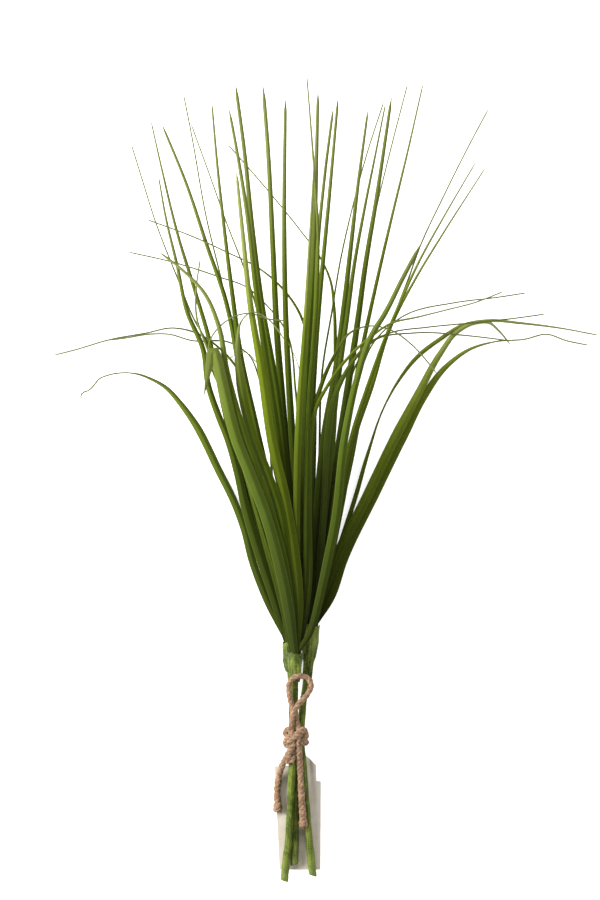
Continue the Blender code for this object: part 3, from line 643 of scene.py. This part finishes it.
# A leaf whose thread would lie past its end is cut off blunt, and its tip is less dry than a fine one.
BLUNT_FROM = 0.15
leaf_film = leaf_finish()
lean = np.random.default_rng(7)
in_pick = {pick: sum(leaf[0] == pick for leaf in LEAVES) for pick in COLLARS}
placed = dict.fromkeys(COLLARS, 0)
for layer, (pick, width, narrows, thread, tone, grey, points) in enumerate(LEAVES):
    root_height = COLLARS[pick][0][1][2] + ROOT_STACK * (placed[pick] / (in_pick[pick] - 1) - 0.5)
    placed[pick] += 1
    number = f"{pick}_{placed[pick]:02d}"
    grid, along, across = leaf_grid(layer, root_height, pick, width, narrows, thread, points,
                                    lean.uniform(-0.8, 0.8), ON_EDGE.get(number, (0.0, 1.0)))
    name = f"leaf_{number}"
    fine = 1.0 - np.clip((thread - 1.0) / BLUNT_FROM, 0.0, 1.0)
    leaf = skin(f"{name}_film", [grid], along=[along], across=[across], tone=[tone + 0 * along],
                grey=[grey + 0 * along], fine=[fine + 0 * along], deep=[painted_heart_shade(layer, grid)])
    dress(leaf, leaf_film, "leaf", name)


# Three strands split off the films' edges stand up by themselves, too fine to be leaves.
WISPS = (
    [(-33, 302, 62), (-35, 304, 62), (-38, 308, 63), (-42, 310, 63), (-46, 312, 62)],
    [(2, 292, 70), (0, 300, 71), (-2, 306, 72), (-5, 312, 72), (-8, 318, 72)],
    [(-62, 296, 55), (-59, 302, 56), (-54, 306, 57), (-47, 309, 57), (-38, 311, 57)],
)
STRAND_LOOK = {"along": 0.8, "across": 0.5, "tone": 0.5, "grey": 0.2, "fine": 1.0, "deep": 0.0}
for number, route in enumerate(WISPS):
    path, along = smooth_curve(route, 1.0)
    grid = tube_points(path, (0.42 - 0.2 * along / along[-1])[:, None], 6)
    flat = {key: [np.full(grid.shape[:2], value)] for key, value in STRAND_LOOK.items()}
    dress(skin(f"wisp_{number + 1}", [grid], **flat), leaf_film, "leaf")


# ---- Twine --------------------------------------------------------------------------------------
# One length of three-ply jute goes twice round the stems and is knotted on top. Out of the knot come
# a small loop and two tails, cut with scissors, whose ends have frayed.

TWINE_DIAMETER = 4.5
TWINE_LAY = 13.0
TWINE_PLIES = 3
TWINE_TURN = 4.9
TWINE_SIDES = 36
FRAY_LENGTH = 9.0
FRAY_SWELL = 0.3
TIE_V = 1.5
CORDS = {
    "twine_loop": [(-5.0, 9.4, 24.0), (-5.2, 15, 25.0), (-3.6, 21, 26.8), (-0.5, 27, 26.4), (5, 33, 25),
                   (9, 38.5, 24.2), (10.4, 44.5, 24), (8, 49, 24.2), (2.4, 50.8, 24.6), (-4, 49, 24.4),
                   (-7.2, 44, 23.6), (-7, 37, 22.8), (-5.8, 30, 22.2), (-4.2, 23, 21.6), (-1.4, 16, 21.8),
                   (0.2, 9.4, 23.2)],
    "twine_tail_right": [(0.6, -5.4, 24.4), (1, -9, 22.6), (1.2, -14, 18.8), (1.5, -20, 15), (1.8, -27, 12.6),
                         (2.4, -40, 11.5), (3.2, -52, 10.9), (4, -64, 10.2), (4.2, -70, 9.9)],
    "twine_tail_left": [(-4.4, -5.4, 24), (-6.6, -9, 22), (-9.4, -14, 18.2), (-12.6, -21, 11.4),
                        (-14.8, -28, 6.4), (-16.4, -36, 3.9), (-16.8, -44, 3.6), (-16.4, -52, 3.6),
                        (-16.6, -58, 3.6)],
}


def rope_grid(path, along, opens=0.0, up=(0.0, 0.0, 1.0)):
    """Three plies laid together: a three-lobed outline that turns once in each length of lay.

    The radius is full at each ply's crown and a little less between plies. A cut end opens: the radius
    grows evenly by the opening along the rope, and swells once more over its last millimetres. The
    values are the lobe and the place in the laid pattern: cosine and sine of the turned angle, and the
    length.
    """
    turn = np.linspace(0.0, 2 * math.pi, TWINE_SIDES, endpoint=False)[None, :]
    laid = turn - 2 * math.pi * along[:, None] / TWINE_LAY
    lobe = np.abs(np.cos(TWINE_PLIES * laid / 2)) ** 0.7
    radius = TWINE_DIAMETER / 2 * (0.85 + 0.18 * lobe)
    radius *= 1.0 + 0.05 * np.sin(along[:, None] * 0.9 + 2 * turn) + 0.04 * np.sin(along[:, None] * 0.37)
    last = smoothstep((along[:, None] - along[-1] + FRAY_LENGTH) / FRAY_LENGTH)
    radius = radius * (1.0 + opens * along[:, None] / along[-1]) * (1.0 + (opens > 0) * FRAY_SWELL * last)
    values = {"lobe": lobe, "laid_x": np.cos(laid), "laid_y": np.sin(laid)}
    values["length"] = along[:, None] + 0 * laid
    return tube_points(path, radius, TWINE_SIDES, up), values


def joined(values):
    """The values of several grids, one list for each name."""
    return {key: [part[key] for part in values] for key in values[0]}


def jute_finish():
    """Jute: pale and dark fibres streaked along each ply, painted shade in the grooves between plies, matt.
    """
    jute = Finish("jute_fibre", Specular_IOR_Level=0.1, Sheen_Weight=0.1)
    lobe = jute.attribute("lobe")
    length = jute.attribute("length")
    laid = jute.node("ShaderNodeCombineXYZ", None, {
        0: jute.attribute("laid_x") * 2.2, 1: jute.attribute("laid_y") * 2.2, 2: length * 0.24})
    streak = jute.noise(laid, 0.8, 2.0, 0.5)
    fibre = jute.noise(jute.place((1.0, 0.6, 1.0)), 620.0, 4.0, 0.6)
    patch = jute.noise(jute.place(), 160.0, 2.0)
    straw = (fibre * 0.45 + streak * 0.45 + patch * 0.2).above(0.42, 0.66)
    colour = jute.mix((0.160, 0.084, 0.042), (0.450, 0.297, 0.186), straw)
    colour = jute.mix(colour, (0.062, 0.029, 0.014), (streak * 0.5 + fibre * 0.5).above(0.51, 0.59) * 0.75)
    # Painted shade in the grooves between plies, following the lobe of the outline.
    colour = jute.mix((0.070, 0.036, 0.018), colour, lobe.above(0.05, 0.55) * 0.7 + 0.3)
    jute.feed(Base_Color=colour, Roughness=fibre * 0.1 + 0.85)
    jute.bump(fibre * 0.8 + streak, 0.0012, 1.0)
    return jute


jute = jute_finish()
TAIL_OPENS = 0.28
for name, route in CORDS.items():
    path, along = smooth_curve(route, 0.35)
    opens = 0.0 if name == "twine_loop" else TAIL_OPENS
    path[:, 2] += TWINE_DIAMETER / 2 * opens * along / along[-1]
    grid, values = rope_grid(path, along, opens)
    cord = skin(f"{name}_laid", [grid], **joined([values]))
    dress(cord, jute, "jute", name)
    along[-1] * MM
    "object" if name == "twine_loop" else "bare"

stems_at_tie = []
for route in STEMS.values():
    path, along = smooth_curve(route, STEM_STEP)
    stems_at_tie.append(path[np.argmin(abs(path[:, 1] - TIE_V))])
# The winding's first and last place, in turns from the right-hand side, and how deep it bites the tape.
WRAP_TURNS = (0.225, 2.275)
WRAP_BITE = 0.8
turn = 2 * math.pi * np.linspace(*WRAP_TURNS, 500)
outward = np.column_stack([np.cos(turn), 0 * turn, np.sin(turn)])
nearest = np.argmax(np.stack([outward @ stem for stem in stems_at_tie]), axis=0)
wrap_path = np.array(stems_at_tie)[nearest] + outward * (STEM_RADIUS - WRAP_BITE + TWINE_DIAMETER / 2)
wrap_path[:, 1] = TIE_V + TWINE_TURN * (1.15 - turn / (2 * math.pi))
wrap_path, along = smooth_curve(wrap_path[::10], 0.4)
grid, values = rope_grid(wrap_path, along, up=(0.0, 1.0, 0.0))
wrap = skin("twine_wrap_laid", [grid], **joined([values]))
dress(wrap, jute, "jute", "twine_wrap")

KNOT_STRANDS = (
    [(-3.4, 0.6, 24.4), (-2.6, 2.6, 26.0), (0.4, 5.6, 26.8), (3.8, 8.2, 25.6), (6.0, 6.2, 24.0),
     (6.2, 2.4, 23.4), (4.6, -1.2, 24.2), (2.0, -3.6, 25.0), (0.4, -6.4, 24.0)],
    [(-2.4, 1.0, 24.4), (-5.0, 5.0, 26.0), (-7.6, 7.8, 25.2), (-9.6, 7.2, 23.4), (-9.8, 4.2, 22.6),
     (-7.2, 2.2, 23.6), (-3.6, 0.8, 24.6)],
    [(-1.6, 3.4, 25.0), (-5.2, 2.8, 27.0), (-8.6, 0.8, 25.8), (-10.2, -2.0, 23.8), (-9.2, -4.8, 23.0),
     (-6.4, -5.6, 24.0), (-3.6, -3.2, 25.2)],
    [(-8.4, -3.0, 24.2), (-5.6, -0.6, 27.6), (-2.4, 1.8, 28.6), (1.2, 4.4, 27.6), (3.6, 6.4, 25.0)],
    [(-5.4, 10.0, 23.8), (-5.6, 6.4, 25.8), (-4.4, 2.4, 27.0), (-3.4, -2.0, 26.2), (-3.8, -5.6, 24.0)],
    [(0.2, 9.6, 23.2), (0.8, 6.2, 25.8), (0.2, 2.0, 27.2), (0.4, -2.4, 26.2), (0.6, -5.6, 24.4)],
    [(-3.2, -2.0, 25.4), (-4.6, -5.0, 25.2), (-6.0, -9.0, 23.0), (-7.4, -14.0, 19.6), (-8.2, -19.0, 16.2)],
    [(-1.6, -2.0, 22.4), (-2.8, -8.0, 20.6), (-3.8, -14.0, 18.8), (-5.4, -18.6, 17.4)],
)
grids, values = [], []
for route in KNOT_STRANDS:
    path, along = smooth_curve(route, 0.4)
    grid, laid = rope_grid(path, along, up=(0.1, 0.9, 0.4))
    grids.append(grid)
    values.append(laid)
knot = skin("twine_knot_laid", grids, **joined(values))
dress(knot, jute, "jute", "twine_knot")

# Loose fibres stand off the twine all over, and the two cut ends have opened into brushes.
FUZZ_PER_MM = 1.3
FUZZ_RADIUS = 0.075
BRUSH_FIBRES = 60
BRUSH_RADIUS = 0.17
HAIR = {"lobe": 1.0, "laid_x": 0.3, "laid_y": 0.4, "length": 0.0}
chance = np.random.default_rng(3)


def fibre_grid(start, heading, length, radius):
    """A hair that starts along its heading and bends aside by the square of the way along it."""
    way = np.linspace(0.0, 1.0, 6)[:, None]
    aside = unit(np.cross(heading, chance.normal(size=3)))
    path = start + length * (way * heading + way ** 2 * aside * chance.uniform(0.1, 0.6))
    path[:, 2] = np.maximum(path[:, 2], 0.2)
    return tube_points(path, radius * (1.1 - way), 3, up=(0.3, 0.2, 0.9))


fuzz, brushes = [], []
for name, route in (*CORDS.items(), *((f"strand_{n}", route) for n, route in enumerate(KNOT_STRANDS))):
    path, along = smooth_curve(route, 0.5)
    ahead = unit(np.gradient(path, axis=0))
    for spot in chance.integers(0, len(path), round(FUZZ_PER_MM * along[-1])):
        outward = unit(np.cross(ahead[spot], chance.normal(size=3)))
        heading = unit(outward + ahead[spot] * chance.uniform(-1.6, 1.6))
        start = path[spot] + outward * 0.9 * TWINE_DIAMETER / 2
        fuzz.append(fibre_grid(start, heading, chance.uniform(1.5, 5.0), FUZZ_RADIUS))
    if "tail" not in name:
        continue
    for fibre in range(BRUSH_FIBRES):
        outward = unit(np.cross(ahead[-1], chance.normal(size=3)))
        spread = chance.uniform(0.0, 1.0) ** 0.5
        start = path[-1] + (0.0, 0.0, 0.5) - 1.5 * ahead[-1] + outward * spread * 0.55 * TWINE_DIAMETER
        heading = unit(ahead[-1] + 0.35 * spread * outward)
        brushes.append(fibre_grid(start, heading, chance.uniform(2.0, 4.6), BRUSH_RADIUS))
for name, grids in (("twine_fuzz", fuzz), ("twine_brushes", brushes)):
    flat = [{key: np.full(grid.shape[:2], value) for key, value in HAIR.items()} for grid in grids]
    hairs = skin(name, grids, **joined(flat))
    dress(hairs, jute, "jute")


# ---- Tag ----------------------------------------------------------------------------------------
# A blank tag of thin milky paper lies under the stems: two leaves, the upper one round-shouldered.

TAG_THICKNESS = 0.35
TAG_RULES = 41
TAG_ROWS = 60

# Each leaf's height, left and right edge, how far its end arches out, and how pale it is.
TAG_LEAVES = {
    "tag_lower_leaf": (0.0, [(-15, -103), (-13, -32)], [(18, -105), (18.5, -34)], 0.0, 1.0),
    "tag_upper_leaf": (0.65, [(-15, -105), (-17, -64), (-19, -22)], [(16, -105), (16, -64), (14.5, -23)],
                       9.0, 0.2),
}


def paper_grid(level, left_edge, right_edge, arch):
    """A sheet ruled between two edges. Its far end arches out to the right and rises in soft folds.

    The arch is a bell across the sheet times the cube of the way along it. The folds are a sine across
    the sheet, times the fifth power of the way along it.
    """
    along = np.linspace(0.0, 1.0, TAG_ROWS)[:, None]
    across = np.linspace(1.0, 0.0, TAG_RULES)
    across = np.concatenate([across, across[::-1]])[None, :]
    face = np.concatenate([np.zeros(TAG_RULES), np.ones(TAG_RULES)])
    edges = []
    for corners in (left_edge, right_edge):
        stops = np.linspace(0.0, 1.0, len(corners))
        edges.append(np.stack([np.interp(along, stops, column) for column in np.array(corners).T], axis=-1))
    plan = edges[0] + (edges[1] - edges[0]) * across[..., None]
    plan[..., 1] += arch * np.exp(-((across - 0.74) / 0.22) ** 2) * along ** 3
    folds = arch * 0.13 * along ** 5 * (1.0 + np.sin(30 * across + 5 * along))
    folds = folds * np.exp(-((across - 0.8) / 0.2) ** 2)
    height = level + face * TAG_THICKNESS + folds + 0.12 * np.sin(3 * across + 4 * along) ** 2
    return np.concatenate([plan, height[..., None]], axis=2), along + 0 * across, across + 0 * along


milk = Finish("tag_paper", Specular_IOR_Level=0.25)
mottle = milk.noise(milk.place(), 60.0, 3.0)
pulp = milk.noise(milk.place((1.0, 0.25, 1.0)), 700.0, 3.0)
rim = (milk.attribute("across") - 0.5).size().above(0.46, 0.5)
paper = milk.mix((0.44, 0.38, 0.295), (0.56, 0.51, 0.42), (mottle * 0.7 + pulp * 0.3).above(0.3, 0.7))
paper = milk.mix(paper, (0.66, 0.64, 0.57), milk.attribute("pale") * 0.7 + rim * 0.3)
milk.feed(Base_Color=paper, Roughness=mottle * 0.2 + 0.45)
milk.bump(pulp * 0.4 + mottle, 0.0006, 0.5)
for name, (level, left_edge, right_edge, arch, pale) in TAG_LEAVES.items():
    grid, along, across = paper_grid(level, left_edge, right_edge, arch)
    sheet = skin(f"{name}_paper", [grid], across=[across], pale=[pale * (0.4 + 0.6 * across * along)])
    dress(sheet, milk, "tag", name)


# ---- Table and light ----------------------------------------------------------------------------
# A plain white table top. Two large soft boxes stand to the left and the right, with a weaker one
# above the leaf tips, so that leaves are bright at their edges; the heart of the bunch is dark from these
# lamps and from the painted shade in the leaf film.

TABLE_REACH = 12.0
TABLE_GAP = 0.0002
corners = [(x * TABLE_REACH, y * TABLE_REACH, 0.0) for x, y in ((-1, -1), (1, -1), (1, 1), (-1, 1))]
table_mesh = bpy.data.meshes.new("table")
table_mesh.from_pydata(corners, [], [(0, 1, 2, 3)])
table = bpy.data.objects.new("table", table_mesh)
table.location.z = -TABLE_GAP
bpy.context.collection.objects.link(table)
white = Finish("table_white", Base_Color=(0.92, 0.92, 0.92, 1.0), Roughness=0.8, Specular_IOR_Level=0.2,
               Emission_Color=(1.0, 1.0, 1.0, 1.0), Emission_Strength=0.62)
table_mesh.materials.append(white.material)

BOX_SIZE = 1.0
BOX_AIM = Vector((0.0, 0.05, 0.03))
SOFT_BOXES = (
    ("box_left", (-1.7, 0.1, 1.1), 84.0),
    ("box_right", (1.7, 0.3, 1.4), 16.0),
    ("box_top", (0.0, 1.2, 1.9), 14.0),
)
for name, place, watts in SOFT_BOXES:
    lamp = bpy.data.lights.new(name, "AREA")
    lamp.shape = "SQUARE"
    lamp.size = BOX_SIZE
    lamp.energy = watts
    holder = bpy.data.objects.new(name, lamp)
    holder.location = place
    holder.rotation_euler = (BOX_AIM - Vector(place)).to_track_quat("-Z", "Y").to_euler()
    bpy.context.collection.objects.link(holder)

world = bpy.data.worlds.new("studio")
world.use_nodes = True
background = world.node_tree.nodes["Background"]
background.inputs["Color"].default_value = (1.0, 1.0, 1.0, 1.0)
background.inputs["Strength"].default_value = 0.42
bpy.context.scene.world = world
bpy.context.scene.view_settings.view_transform = "Standard"
